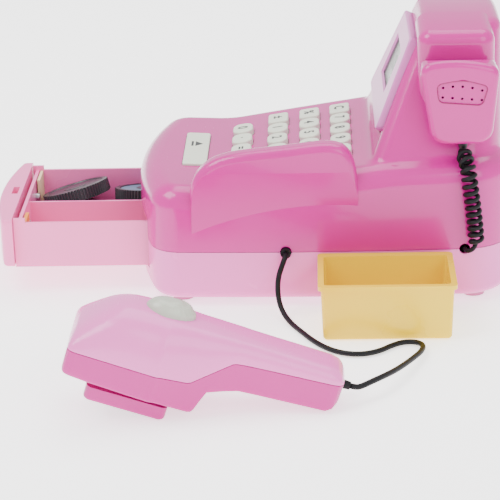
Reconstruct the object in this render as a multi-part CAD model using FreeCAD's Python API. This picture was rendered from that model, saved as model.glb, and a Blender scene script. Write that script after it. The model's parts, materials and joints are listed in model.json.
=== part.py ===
"""Toy cash register with pull-out money drawer, hand scanner, hand microphone and side bin.

Frame: millimetres, +Z up, +X the register's right side, -Y the front where the drawer comes out.
The origin is on the floor, under the middle of the register.  The model stands as it does in use:
the drawer is open, the scanner lies on the floor in front of the right side.
"""
import FreeCAD, Part
import math
import os
from FreeCAD import Vector

os.makedirs("parts", exist_ok=True)

# ---- driving dimensions -------------------------------------------------------------------
HALF_WIDTH = 82.2        # widest half width of the housing
HALF_WIDTH_END = 79.0    # half width where the sides reach the corners
HALF_LENGTH = 120.5      # middle line to the rear wall
FRONT_LENGTH = 119.0     # middle line to the bowed front wall
HALF_LENGTH_SIDE = 112.0  # rear corners
FRONT_LENGTH_SIDE = 104.5  # front corners
CORNER_R = 32.0
FRONT_CORNER_R = 20.0
WALL = 2.4
BASE_Z = 4.0             # underside of the housing; the rubber feet reach the floor
SEAM_Z = 36.5            # joint line of lower and upper housing
SEAM_GAP = 0.4
BASE_EDGE_R = 7.0

DECK_FRONT_Z = 78.3      # deck height at the very front
DECK_LOW_Y = -62.0       # where the front deck meets the sloping key deck
DECK_LOW_Z = 75.2
DECK_SLOPE = 0.150       # rise per mm of the key deck
DECK_REAR_Y = 40.0       # the ledge beside the tower starts here
LEDGE_SLOPE = 0.03
DECK_EDGE_R = 14.0

TOWER_LEAN = 0.417       # run back per mm of height of the tower's front face
TOWER_Y = 29.3           # tower front face at TOWER_Z
TOWER_Z = 89.1
TOWER_HALF = 70.5        # half width of the tower at TOWER_Z
TOWER_TAPER = 0.457      # inward run per mm of height of the tower's sides
TOWER_REAR_Y = 111.0
TOWER_TOP_Z = 169.5
TOWER_CROWN_R = 330.0

KEY_PITCH_X = 20.8
KEY_LONG = 17.8          # key size across the register
KEY_SHORT = 13.2         # key size along the register
KEY_RISE = 4.3           # key top over the deck
KEY_ROW_Y = [-52.7, -29.5, -8.8, 11.2]
KEY_TRAVEL = 2.5
KEY_GAP = 0.35
OPEN_KEY_Y = -82.5
OPEN_KEY_LONG = 62.0
OPEN_KEY_SHORT = 15.6

TRAY_HALF = 51.5
TRAY_FRONT_Y = -197.5
TRAY_REAR_Y = -43.5
TRAY_Z = 17.0
TRAY_TOP_Z = 46.8
TRAY_WALL = 2.0
PANEL_HALF = 56.0
PANEL_Z = 18.5
PANEL_TOP_Z = 50.4
PANEL_REAR_Y = -197.8
DRAWER_TRAVEL = 93.0

BAY_HALF = 56.6          # drawer mouth in the front wall
BAY_Z = 16.6
BAY_TOP_Z = 51.0

BIN_X = [83.5, 138.5]    # rim of the side bin
BIN_Y = [-5.0, 78.0]
BIN_TOP_Z = 36.0
BIN_Z = 0.4

SCANNER_X = 220.0        # where the hand scanner lies
SCANNER_Y = -94.9
SCANNER_PITCH = 18.5     # nose up, resting on the lens frame and the end of the grip
SCANNER_HALF = 27.5
GRIP_HALF = 14.5

MIC_CENTRE = Vector(69.0, 82.2, 130.5)
MIC_BACK_X = 57.6
MIC_SPLIT_X = 67.5
MIC_FRONT_X = 80.5

CORD_D = 3.3             # scanner cord
COIL_D = 10.5            # outer diameter of the curly cord
WIRE_D = 2.8             # wire of the curly cord


# ---- helpers ------------------------------------------------------------------------------
def box(x0, x1, y0, y1, z0, z1):
    """Box between two corners."""
    return Part.makeBox(x1 - x0, y1 - y0, z1 - z0, Vector(x0, y0, z0))


def rod(radius, start, end):
    """Cylinder from start to end."""
    start, end = Vector(*start), Vector(*end)
    return Part.makeCylinder(radius, (end - start).Length, start, end - start)


def prism(points, direction):
    """Extrusion of a closed polygon of (x, y, z) points."""
    ring = [Vector(*p) for p in points]
    return Part.Face(Part.makePolygon(ring + ring[:1])).extrude(Vector(*direction))


def round_edges(shape, radius, chosen):
    """Fillet every edge for which chosen(edge) is true."""
    return shape.makeFillet(radius, [e for e in shape.Edges if chosen(e)])


def soften(shape, radius, chosen):
    """Fillet like round_edges, with a smaller radius where the full one does not fit."""
    for factor in (1.0, 0.85, 0.7, 0.55, 0.4, 0.25):
        try:
            rounded = round_edges(shape, radius * factor, chosen)
        except Part.OCCError:
            continue
        if rounded.isValid() and len(rounded.Solids) == 1:
            print("fillet", round(radius * factor, 2), "of", round(radius, 2))
            return rounded
    print("no fillet of", round(radius, 2))
    return shape


def along(axis):
    """Test for straight edges that run along X, Y or Z (0, 1, 2)."""
    def test(edge):
        ends = [v.Point for v in edge.Vertexes]
        if len(ends) < 2:
            return False
        step = ends[1] - ends[0]
        others = [abs(step[i]) for i in range(3) if i != axis]
        return abs(step[axis]) > 0.01 and max(others) < 0.001
    return test


def rounded_box(x0, x1, y0, y1, z0, z1, radius, axis=2):
    """Box whose four edges along one axis are rounded."""
    return round_edges(box(x0, x1, y0, y1, z0, z1), radius, along(axis))


def arc(a, b, c):
    """Arc edge through three points."""
    return Part.Arc(Vector(*a), Vector(*b), Vector(*c)).toShape()


def line(a, b):
    """Straight edge."""
    return Part.LineSegment(Vector(*a), Vector(*b)).toShape()


def joined(shapes):
    """Union of a list of solids."""
    whole = shapes[0]
    if len(shapes) > 1:
        whole = whole.fuse(shapes[1:])
    return whole.removeSplitter()


def group(shapes):
    """Several separate solids in one node."""
    return Part.makeCompound(shapes)


def mirrored_x(shape):
    return shape.mirror(Vector(0, 0, 0), Vector(1, 0, 0))


def save(node, shape):
    """Write one node and report its volume."""
    shape.exportStep("parts/" + node + ".step")
    print(node, "solids", len(shape.Solids), "volume", round(shape.Volume), "valid", shape.isValid())


# ---- housing outline ----------------------------------------------------------------------
def plan_block(inset, z0, z1):
    """The housing's bowed plan outline, pulled in by inset, from z0 to z1."""
    wide, wide_end = HALF_WIDTH - inset, HALF_WIDTH_END - inset
    rear, rear_side = HALF_LENGTH - inset, HALF_LENGTH_SIDE - inset
    front, front_side = FRONT_LENGTH - inset, FRONT_LENGTH_SIDE - inset * 1.1
    corners = [(-wide_end, -front_side), (wide_end, -front_side), (wide_end, rear_side), (-wide_end, rear_side)]
    middles = [(0, -front), (wide, 0), (0, rear), (-wide, 0)]
    edges = []
    for i in range(4):
        a, m, b = corners[i], middles[i], corners[(i + 1) % 4]
        edges.append(arc((a[0], a[1], z0), (m[0], m[1], z0), (b[0], b[1], z0)))
    block = Part.Face(Part.Wire(edges)).extrude(Vector(0, 0, z1 - z0))
    block = round_edges(block, FRONT_CORNER_R - inset, lambda e: along(2)(e) and e.BoundBox.YMax < 0)
    return round_edges(block, CORNER_R - inset, lambda e: along(2)(e) and e.BoundBox.YMin > rear_side - 1)


def deck_z(y):
    """Height of the deck on the middle line."""
    if y < DECK_LOW_Y:
        front_slope = (DECK_FRONT_Z - DECK_LOW_Z) / (FRONT_LENGTH + DECK_LOW_Y)
        return DECK_LOW_Z + (DECK_LOW_Y - y) * front_slope
    rise = (min(y, DECK_REAR_Y) - DECK_LOW_Y) * DECK_SLOPE
    return DECK_LOW_Z + rise + max(0.0, y - DECK_REAR_Y) * LEDGE_SLOPE


def fillet_point(y, reach, drop):
    """Middle point of the arc that softens the deck's bend at y."""
    def at(v):
        return Vector(0, v, deck_z(v))
    into = (at(y) - at(y - 1)).normalize()
    out = (at(y + 1) - at(y)).normalize()
    turn = math.acos(into.dot(out))
    radius = reach / math.tan(turn / 2)
    towards = (out - into).normalize()
    middle = at(y) + towards * (radius / math.cos(turn / 2) - radius)
    return (-HALF_WIDTH - 10, middle.y, middle.z - drop)


def deck_cutter(drop):
    """Everything above the deck surface, which is lowered by drop."""
    low = DECK_LOW_Y
    rear = DECK_REAR_Y
    blend = 9.0
    far = HALF_LENGTH + 10.0
    half = HALF_WIDTH + 10.0

    def point(y):
        return (-half, y, deck_z(y) - drop)

    def bend(y):
        """Points where the arc about a bend starts and ends."""
        before = Vector(0, y - 1, deck_z(y - 1)) - Vector(0, y, deck_z(y))
        after = Vector(0, y + 1, deck_z(y + 1)) - Vector(0, y, deck_z(y))
        start = Vector(-half, y, deck_z(y) - drop) + before.normalize() * blend
        end = Vector(-half, y, deck_z(y) - drop) + after.normalize() * blend
        return tuple(start), tuple(end)
    low_start, low_end = bend(low)
    rear_start, rear_end = bend(rear)
    edges = [line(point(-far), low_start),
             arc(low_start, fillet_point(low, blend, drop), low_end),
             line(low_end, rear_start),
             arc(rear_start, fillet_point(rear, blend, drop), rear_end),
             line(rear_end, point(far)),
             line(point(far), (-half, far, 300)),
             line((-half, far, 300), (-half, -far, 300)),
             line((-half, -far, 300), point(-far))]
    return Part.Face(Part.Wire(edges)).extrude(Vector(2 * half, 0, 0))


def desk_body(inset, z0):
    """Lower part of the upper housing: vertical walls and the rounded deck."""
    body = plan_block(inset, z0, 110).cut(deck_cutter(inset))
    return soften(body, DECK_EDGE_R - inset, lambda e: e.BoundBox.ZMin > 60
                  and not is_crosswise(e) and not along(2)(e))


def is_crosswise(edge):
    """Edges on the deck that run straight across the register."""
    return edge.BoundBox.YLength < 0.5 and edge.BoundBox.XLength > 60


def tower_section(z, inset):
    """Rounded outline of the tower at one height."""
    half = TOWER_HALF - TOWER_TAPER * (z - TOWER_Z) - inset * 1.1
    front = TOWER_Y + TOWER_LEAN * (z - TOWER_Z) + inset * 1.08
    rear = TOWER_REAR_Y - inset
    shrink = half / TOWER_HALF
    front_r = 8.0 - inset
    rear_r = 30.0 * shrink
    corners = [(-half, front, front_r), (half, front, front_r), (half, rear, rear_r), (-half, rear, rear_r)]
    signs = [(1, 1), (-1, 1), (-1, -1), (1, -1)]
    edges, ends = [], []
    for i, (x, y, r) in enumerate(corners):
        sx, sy = signs[i]
        cx, cy = x + sx * r, y + sy * r
        side = (x, cy, z)
        face = (cx, y, z)
        middle = (cx - sx * r * math.sqrt(0.5), cy - sy * r * math.sqrt(0.5), z)
        first, last = (side, face) if i % 2 == 0 else (face, side)
        ends.append((first, last))
        edges.append(arc(first, middle, last))
    for i in range(4):
        edges.append(line(ends[i][1], ends[(i + 1) % 4][0]))
    return Part.Wire(Part.__sortEdges__(edges))


def crown(drop):
    """Block whose arched top is the tower's roof."""
    top = TOWER_TOP_Z - drop
    radius = TOWER_CROWN_R
    half = 120.0
    low = top - radius + math.sqrt(radius ** 2 - half ** 2)
    edges = [arc((-half, 0, low), (0, 0, top), (half, 0, low)), line((half, 0, low), (half, 0, 30)),
             line((half, 0, 30), (-half, 0, 30)), line((-half, 0, 30), (-half, 0, low))]
    return Part.Face(Part.Wire(edges)).extrude(Vector(0, 200, 0))


def tower_body(inset, z0):
    """Leaning tower with its arched roof."""
    block = Part.makeLoft([tower_section(z0, inset), tower_section(180, inset)], True, True)
    block = block.common(crown(inset))
    return soften(block, 7.0 - inset, lambda e: e.BoundBox.ZMin > 155)


def pod_body(inset):
    """Flat-faced boss on the tower's right side, on which the microphone hangs."""
    shape = box(20, 56 - inset, 57.8 + inset, 105.0 - inset, 112, 175)
    shape = round_edges(shape, 9.0 - inset, lambda e: along(2)(e) and e.BoundBox.XMin > 40)
    shape = shape.common(crown(inset - 2.0))
    return soften(shape, 8.0 - inset, lambda e: e.BoundBox.ZMin > 155 and e.BoundBox.XMax > 20.5)


def rail_body(inset):
    """Raised arm along the right side of the key deck."""
    i = inset
    outline = [(-82.6 + i, 76), (-80.6 + i, 84.5), (-76.0 + i, 91.0 - i * 0.5), (-69.7 + i, 96.0 - i),
               (-60.0, 99.7 - i), (-45.0, 102.0 - i), (-14.6, 105.2 - i), (2.0, 106.6 - i),
               (11.0 - i, 104.6 - i), (16.6 - i, 98.4), (19.4 - i, 89.0), (20.4 - i, 80.0)]
    curve = Part.BSplineCurve()
    curve.interpolate([Vector(70.0 + i, y, z) for y, z in outline])
    first, last = outline[0], outline[-1]
    base = [(70.0 + i, last[0], last[1]), (70.0 + i, last[0], 46), (70.0 + i, first[0], 46),
            (70.0 + i, first[0], first[1])]
    edges = [curve.toShape(), line(base[0], base[1]), line(base[1], base[2]), line(base[2], base[3])]
    shape = Part.Face(Part.Wire(edges)).extrude(Vector(14.6 - 2 * i, 0, 0))
    slope = prism([(84.7 - i, -130, 90), (79.2 - i, -130, 40), (100, -130, 40), (100, -130, 90)], (0, 260, 0))
    if inset == 0:
        shape = soften(shape, 5.0, lambda e: e.BoundBox.ZMin > 75 and e.BoundBox.XLength < 0.5
                       and e.BoundBox.YLength > 50)
    return shape.cut(slope)


def front_mouth(z0, z1):
    """Drawer mouth through the front wall."""
    return box(-BAY_HALF, BAY_HALF, -HALF_LENGTH - 5, -HALF_LENGTH + 22, z0, z1)


# ---- placements on the sloping surfaces -----------------------------------------------------
DECK_ANGLE = math.degrees(math.atan(DECK_SLOPE))
FRONT_DECK_ANGLE = -math.degrees(math.atan((DECK_FRONT_Z - DECK_LOW_Z) / (FRONT_LENGTH + DECK_LOW_Y)))


def onto_deck(shape, x, y, angle):
    """Place a shape made around the origin, deck surface at z = 0, onto the deck."""
    placed = shape.copy()
    placed.rotate(Vector(0, 0, 0), Vector(1, 0, 0), angle)
    placed.translate(Vector(x, y, deck_z(y)))
    return placed


FACE_ANGLE = math.degrees(math.atan(TOWER_LEAN))


def onto_face(shape):
    """Place a shape made with the tower's front face as its XY plane (x across, y up the slope)."""
    placed = shape.copy()
    placed.rotate(Vector(0, 0, 0), Vector(1, 0, 0), 90 - FACE_ANGLE)
    placed.translate(Vector(0, TOWER_Y, TOWER_Z))
    return placed


def trapezoid(half_low, half_high, low, high, z0, z1, radius):
    """Upright-sided trapezoid plate in the XY plane with rounded corners."""
    plate = prism([(-half_low, low, z0), (half_low, low, z0), (half_high, high, z0), (-half_high, high, z0)],
                  (0, 0, z1 - z0))
    return round_edges(plate, radius, along(2))


# ---- keys -----------------------------------------------------------------------------------
def key_places():
    """Name, x, y and shape of each of the 19 small keys."""
    places = []
    for row, y in enumerate(KEY_ROW_Y):
        columns = [-1.5, -0.5, 0.5, 1.5] if row == 0 else [-2, -1, 0, 1, 2]
        for index, column in enumerate(columns):
            square = row > 0 and index == 0
            places.append(("key_%d_%d" % (row + 1, index + 1), column * KEY_PITCH_X, y, square))
    return places


def key_outline(half_long, half_short, z0, z1, square):
    """Rounded rectangle or near-oval key section."""
    radius = 2.2 if square else half_short - 0.7
    return rounded_box(-half_long, half_long, -half_short, half_short, z0, z1, radius)


def key_solid(half_long, half_short, square):
    """Key cap with its flange under the deck and the stem that presses the dome."""
    cap = key_outline(half_long, half_short, -2.8, KEY_RISE, square)
    cap = round_edges(cap, 1.2, lambda e: e.BoundBox.ZMin > KEY_RISE - 0.01)
    flange = key_outline(half_long + 1.1, half_short + 1.1, -3.9, -2.8, square)
    stem = rod(2.2, (0, 0, -6.4), (0, 0, -3.9))
    return joined([cap, flange, stem])


def key_holes():
    """Cutters for all the keys' openings in the deck."""
    cutters = []
    for _, x, y, square in key_places():
        cutter = key_outline(KEY_LONG / 2 + KEY_GAP, KEY_SHORT / 2 + KEY_GAP, -9, 9, square)
        cutters.append(onto_deck(cutter, x, y, DECK_ANGLE))
    opener = rounded_box(-OPEN_KEY_LONG / 2 - KEY_GAP, OPEN_KEY_LONG / 2 + KEY_GAP,
                         -OPEN_KEY_SHORT / 2 - KEY_GAP, OPEN_KEY_SHORT / 2 + KEY_GAP, -9, 9, 2.5)
    cutters.append(onto_deck(opener, 0, OPEN_KEY_Y, FRONT_DECK_ANGLE))
    return cutters


def make_keys():
    small = key_solid(KEY_LONG / 2, KEY_SHORT / 2, False)
    square = key_solid(KEY_LONG / 2, KEY_SHORT / 2, True)
    for name, x, y, is_square in key_places():
        save(name, onto_deck(square if is_square else small, x, y, DECK_ANGLE))
    long_half, short_half = OPEN_KEY_LONG / 2, OPEN_KEY_SHORT / 2
    cap = rounded_box(-long_half, long_half, -short_half, short_half, -2.9, 1.6, 2.2)
    cap = round_edges(cap, 0.9, lambda e: e.BoundBox.ZMin > 1.59)
    flange = rounded_box(-long_half - 1.2, long_half + 1.2, -short_half - 1.2, short_half + 1.2, -6.0, -4.6, 3.0)
    neck = rounded_box(-long_half, long_half, -short_half, short_half, -4.6, -2.9, 2.2)
    stem = box(-3, 3, -3.2, 0.8, -11.0, -6.0)
    save("open_key", onto_deck(joined([cap, neck, flange, stem]), 0, OPEN_KEY_Y, FRONT_DECK_ANGLE))


# ---- housings -------------------------------------------------------------------------------
SCREW_PLACES = [(-68, -58), (68, -58), (-70, 44), (70, 44), (-50, 98), (50, 98)]
PEG_Y = [12.0, 62.0]
CORD_EXIT = Vector(81.2, -24.5, SEAM_Z)
MIC_CORD_EXIT = Vector(77.6, 86.0, SEAM_Z)
FOOT_PLACES = [(-62, -90), (62, -90), (-62, 93), (62, 93), (0, 0)]


def exit_holes():
    """Round holes on the joint line for the two cords."""
    return [rod(3.6, (CORD_EXIT.x - 8, CORD_EXIT.y, SEAM_Z), (CORD_EXIT.x + 5, CORD_EXIT.y, SEAM_Z)),
            rod(3.4, (MIC_CORD_EXIT.x - 9, MIC_CORD_EXIT.y, SEAM_Z),
                (MIC_CORD_EXIT.x + 6, MIC_CORD_EXIT.y, SEAM_Z))]


def make_lower_housing():
    top = SEAM_Z - SEAM_GAP / 2
    outer = plan_block(0, BASE_Z, top)
    outer = round_edges(outer, BASE_EDGE_R, lambda e: e.BoundBox.ZMax < BASE_Z + 0.01)
    inner = plan_block(WALL, BASE_Z + WALL, top + 5)
    shell = outer.cut(inner)
    floor = BASE_Z + WALL
    ribs = []
    for side in (-1, 1):
        runner = sorted((side * 42.0, side * 44.0))
        guide = sorted((side * 52.6, side * 54.6))
        ribs.append(box(runner[0], runner[1], -112, 58, floor - 1, TRAY_Z - 0.4))
        ribs.append(box(guide[0], guide[1], -106, 58, floor - 1, 33))
        battery_wall = sorted((side * 32.4, side * 34.4))
        ribs.append(box(battery_wall[0], battery_wall[1], 65, 111, floor - 1, 24))
    ribs.append(box(-54.6, 54.6, 62.0, 64.4, floor - 1, 33))
    for x, y in SCREW_PLACES:
        ribs.append(rod(4.2, (x, y, floor - 1), (x, y, top)))
    pegs = []
    for y in PEG_Y:
        arm = prism([(79.0, y - 5, 26.0), (85.8, y - 5, 28.5), (85.8, y - 5, 32.9), (84.4, y - 5, 32.9),
                     (84.4, y - 5, 30.3), (79.0, y - 5, 30.3)], (0, 10, 0))
        pegs.append(arm)
    shell = joined([shell] + ribs + pegs)
    cutters = [front_mouth(BAY_Z, top + 5), box(-32, 32, 66, 110, 0, floor + 0.01)] + exit_holes()
    for x, y in SCREW_PLACES:
        cutters.append(rod(1.6, (x, y, 0), (x, y, top + 1)))
        cutters.append(rod(3.2, (x, y, 0), (x, y, floor + 0.6)))
    for x, y in FOOT_PLACES:
        cutters.append(rod(7.1, (x, y, 0), (x, y, BASE_Z + 0.8)))
    save("lower_housing", shell.cut(cutters))


def is_tower_foot(edge):
    """Edges where the tower's walls meet the deck and the ledge."""
    middle = edge.valueAt((edge.FirstParameter + edge.LastParameter) / 2)
    near = abs(middle.x) < 73 and middle.y > 25 and 84 < middle.z < 95
    return near and edge.BoundBox.ZLength < 8


def make_upper_housing():
    low = SEAM_Z + SEAM_GAP / 2
    outer = joined([desk_body(0, low), tower_body(0, 79)])
    outer = soften(outer, 8.0, is_tower_foot)
    outer = joined([outer, pod_body(0), rail_body(0)])
    inner = joined([desk_body(WALL, low - 5), tower_body(WALL, 70), pod_body(WALL), rail_body(WALL)])
    shell = outer.cut(inner)
    posts = [rod(2.4, (53, MIC_CENTRE.y, MIC_CENTRE.z + 9.5), (63.5, MIC_CENTRE.y, MIC_CENTRE.z + 9.5))]
    for x, y in SCREW_PLACES:
        posts.append(rod(4.2, (x, y, low + 0.2), (x, y, deck_z(y) - 1.2)))
    for x in (-50, 50):
        posts.append(box(x - 1, x + 1, 98, 115.8, low + 0.2, 80))
    shell = joined([shell] + posts)
    cutters = [front_mouth(0, BAY_TOP_Z)] + exit_holes() + key_holes()
    for x, y in SCREW_PLACES:
        cutters.append(rod(1.5, (x, y, 0), (x, y, 56)))
    cutters.append(onto_face(trapezoid(53.2, 35.7, 13.8, 75.0, -1.6, 20, 4.0)))
    cutters.append(onto_face(trapezoid(46.0, 31.0, 19.0, 68.0, -12, 20, 3.0)))
    for i in range(-3, 4):
        for j in range(-2, 3):
            if abs(i) + abs(j) < 5:
                cutters.append(rod(1.4, (i * 5.0, 100, 125 + j * 5.0), (i * 5.0, 125, 125 + j * 5.0)))
    cutters.append(box(-86, -70, 55.2, 69.0, 57.6, 64.4))
    cutters.append(box(-75.5, -72.3, -50, -26, 62, 90))
    save("upper_housing", shell.cut(cutters))


def make_small_housing_parts():
    feet = [rod(7.0, (x, y, 0), (x, y, BASE_Z + 0.7)) for x, y in FOOT_PLACES]
    save("rubber_feet", group(feet))
    screws = []
    for x, y in SCREW_PLACES:
        head = rod(2.9, (x, y, BASE_Z + 0.6), (x, y, BASE_Z + WALL + 0.4))
        screws.append(joined([head, rod(1.4, (x, y, BASE_Z + WALL), (x, y, 52))]))
    save("housing_screws", group(screws))
    save("battery_door", joined([rounded_box(-31.6, 31.6, 66.4, 109.6, BASE_Z + 0.2, BASE_Z + 2.2, 2.0),
                                 box(-6, 6, 104, 109.4, BASE_Z + 2.2, BASE_Z + 4.0)]))
    rows = [73.6, 88.1, 102.6]
    cells = [joined([rod(7.0, (-24.5, y, 15.0), (24.0, y, 15.0)), rod(2.6, (24.0, y, 15.0), (25.4, y, 15.0))])
             for y in rows]
    save("batteries", group(cells))
    plates = [box(25.8, 26.4, 67, 109, 8.5, 21.5), box(-31.4, -30.8, 67, 109, 8.5, 21.5)]
    springs = [rod(3.2, (-30.7, y, 15.0), (-24.9, y, 15.0)) for y in rows]
    save("battery_contacts", group(plates + springs))


def make_display():
    """Bezel, clear window and LCD panel on the leaning front of the tower."""
    plate = trapezoid(52.0, 34.5, 15.0, 73.8, -1.2, 4.0, 4.0)
    plate = round_edges(plate, 1.3, lambda e: e.BoundBox.ZMin > 3.99)
    low = Part.makePolygon([Vector(*p) for p in
                            [(-22, 33, 2.6), (22, 33, 2.6), (20.4, 59.4, 2.6), (-20.4, 59.4, 2.6), (-22, 33, 2.6)]])
    high = Part.makePolygon([Vector(*p) for p in
                             [(-23.5, 32, 4.1), (23.5, 32, 4.1), (21.8, 60.5, 4.1), (-21.8, 60.5, 4.1),
                              (-23.5, 32, 4.1)]])
    funnel = Part.makeLoft([low, high], True, True)
    pocket = box(-24.5, 24.5, 30.5, 62.0, -2.0, 2.61)
    save("display_bezel", onto_face(plate.cut([funnel, pocket])))
    save("display_window", onto_face(box(-24, 24, 31, 61.5, 1.4, 2.4)))
    save("lcd_panel", onto_face(box(-24, 24, 31, 61.5, -1.5, 1.2)))


def make_electronics():
    deck_middle = (KEY_ROW_Y[0] + KEY_ROW_Y[-1]) / 2
    half = (KEY_ROW_Y[-1] - KEY_ROW_Y[0]) / 2 + 12
    board = box(-60, 60, -half, half, -13.4, -11.8)
    save("main_board", onto_deck(board, 0, deck_middle, DECK_ANGLE))
    sheet = [box(-57, 57, -half + 1, half - 1, -11.7, -10.7)]
    slope_length = math.sqrt(1 + DECK_SLOPE ** 2)
    for _, x, y, _ in key_places():
        along_deck = (y - deck_middle) * slope_length
        sheet.append(Part.makeCone(4.6, 2.6, 1.6, Vector(x, along_deck, -10.8)))
    save("key_membrane", onto_deck(joined(sheet), 0, deck_middle, DECK_ANGLE))
    cone = Part.makeCone(9, 19, 7, Vector(0, 95.5, 125), Vector(0, 1, 0))
    rim = rod(20, (0, 102.5, 125), (0, 105.2, 125))
    magnet = rod(11, (0, 89, 125), (0, 95.5, 125))
    save("speaker", joined([cone, rim, magnet]))
    slider = joined([box(-84.2, -80.2, 56.2, 61.2, 59.0, 63.0), box(-80.4, -78.0, 56.2, 61.2, 59.0, 63.0)])
    save("power_switch", slider)
    save("switch_body", box(-77.6, -71.0, 52.5, 71.5, 56.5, 65.5).cut(box(-78, -74.0, 55.5, 69.0, 58.0, 64.0)))


# ---- drawer ---------------------------------------------------------------------------------
def make_drawer():
    tray = box(-TRAY_HALF, TRAY_HALF, TRAY_FRONT_Y, TRAY_REAR_Y, TRAY_Z, TRAY_TOP_Z)
    inner_half = TRAY_HALF - TRAY_WALL
    front_wall_y = TRAY_FRONT_Y + 4.5
    floor = TRAY_Z + TRAY_WALL
    hollow = box(-inner_half, inner_half, front_wall_y, TRAY_REAR_Y - TRAY_WALL, floor, TRAY_TOP_Z + 1)
    recess = box(-inner_half, inner_half, TRAY_FRONT_Y - 1, front_wall_y - 2.2, floor, TRAY_TOP_Z + 1)
    tray = tray.cut([hollow, recess])
    pieces = [tray, box(-1.0, 1.0, front_wall_y - 1, TRAY_REAR_Y - 1, floor - 0.5, TRAY_TOP_Z - 4.6)]
    for side in (-1, 1):
        tab = sorted((side * TRAY_HALF, side * inner_half))
        pieces.append(box(tab[0], tab[1], TRAY_FRONT_Y, TRAY_FRONT_Y + 7.5, TRAY_TOP_Z - 1, TRAY_TOP_Z + 2.8))
    tray = joined(pieces)
    cutters = [rod(2.0, (x, TRAY_FRONT_Y - 1, 36), (x, front_wall_y + 1, 36)) for x in (-25, 25)]
    save("drawer_tray", tray.cut(cutters))

    bow = 7.3
    face_y = PANEL_REAR_Y - 6.5
    rear = [line((PANEL_HALF, PANEL_REAR_Y, PANEL_Z), (-PANEL_HALF, PANEL_REAR_Y, PANEL_Z)),
            line((-PANEL_HALF, PANEL_REAR_Y, PANEL_Z), (-PANEL_HALF, face_y, PANEL_Z)),
            arc((-PANEL_HALF, face_y, PANEL_Z), (0, face_y - bow, PANEL_Z), (PANEL_HALF, face_y, PANEL_Z)),
            line((PANEL_HALF, face_y, PANEL_Z), (PANEL_HALF, PANEL_REAR_Y, PANEL_Z))]
    panel = Part.Face(Part.Wire(rear)).extrude(Vector(0, 0, PANEL_TOP_Z - PANEL_Z))
    panel = round_edges(panel, 3.5, lambda e: along(2)(e) and e.BoundBox.YMax < PANEL_REAR_Y - 4)
    panel = round_edges(panel, 2.2, lambda e: e.BoundBox.ZLength < 0.01 and e.BoundBox.YMin < face_y + 3
                        and e.BoundBox.YMax < PANEL_REAR_Y - 0.5)
    inner_face = box(-PANEL_HALF + 3, PANEL_HALF - 3, PANEL_REAR_Y - 5.6, PANEL_REAR_Y - 2.2,
                     PANEL_Z + 3, PANEL_TOP_Z - 12)
    catch = box(-6.5, 6.5, PANEL_REAR_Y - 6.6, PANEL_REAR_Y - 2.6, PANEL_TOP_Z - 6, PANEL_TOP_Z + 1)
    panel = panel.cut([catch, inner_face])
    panel = panel.cut([rod(1.3, (x, PANEL_REAR_Y - 2.5, 36), (x, PANEL_REAR_Y + 1, 36)) for x in (-25, 25)])
    save("drawer_front", panel)
    screws = []
    for x in (-25, 25):
        head = rod(3.0, (x, front_wall_y + 0.1, 36), (x, front_wall_y + 2.6, 36))
        shank = rod(1.2, (x, PANEL_REAR_Y - 2.0, 36), (x, front_wall_y + 0.2, 36))
        screws.append(joined([head, shank]))
    save("drawer_screws", group(screws))


def coin(centre, tilt_x, tilt_y):
    """Thick play coin with a rounded edge."""
    disc = Part.makeCylinder(22.5, 8.0, Vector(0, 0, 0))
    disc = round_edges(disc, 1.0, lambda e: e.BoundBox.ZLength < 0.01)
    disc.rotate(Vector(0, 0, 0), Vector(1, 0, 0), tilt_x)
    disc.rotate(Vector(0, 0, 0), Vector(0, 1, 0), tilt_y)
    disc.translate(Vector(*centre))
    return disc


def make_play_money():
    floor = TRAY_Z + TRAY_WALL + 0.2
    coins = [coin((-25, -165.0, floor), 0, 0), coin((-25, -164.5, 35.6), 17, 0),
             coin((-25, -117.8, floor), 0, 0), coin((-25, -118.5, 33.0), 0, 14)]
    save("play_coins", group(coins))
    save("play_cards", group([box(-49.2, -29.5, -192.2, -190.4, floor, 46.5),
                              box(30, 49.2, -192.2, -190.0, floor, 46.0)]))


def make_drawer_action():
    """Return spring behind the drawer and the latch lever under the opening key."""
    spring = rod(4.5, (0, 50.2, 28), (0, 61.8, 28)).cut(rod(3.3, (0, 50, 28), (0, 62, 28)))
    save("drawer_spring", spring)
    arm = prism([(-4, -111.2, 59.0), (-4, -87.5, 60.5), (-4, -81.5, 62.4), (-4, -81.5, 64.2), (-4, -90.0, 64.6),
                 (-4, -111.2, 62.5)], (8, 0, 0))
    hook = prism([(-4, -111.2, 60), (-4, -108.2, 60), (-4, -108.2, 51.0), (-4, -109.4, 51.0)], (8, 0, 0))
    hub = rod(3.2, (-4, -98, 61.5), (4, -98, 61.5))
    lever = joined([arm, hook, hub]).cut(rod(1.55, (-5, -98, 61.5), (5, -98, 61.5)))
    save("latch_lever", lever)
    ears = [rod(1.5, (-12, -98, 61.5), (12, -98, 61.5))]
    for x in (-10.5, 6.5):
        ears.append(box(x, x + 4.0, -101.5, -94.5, 57.5, deck_z(-98) - WALL - 0.5))
    save("latch_bracket", joined(ears))


# ---- side bin -------------------------------------------------------------------------------
def rounded_ring(x0, x1, y0, y1, z, radius):
    """Rounded rectangle wire."""
    block = rounded_box(x0, x1, y0, y1, z, z + 1, radius)
    bottom = [f for f in block.Faces if f.BoundBox.ZMax < z + 0.01]
    return bottom[0].OuterWire


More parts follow.
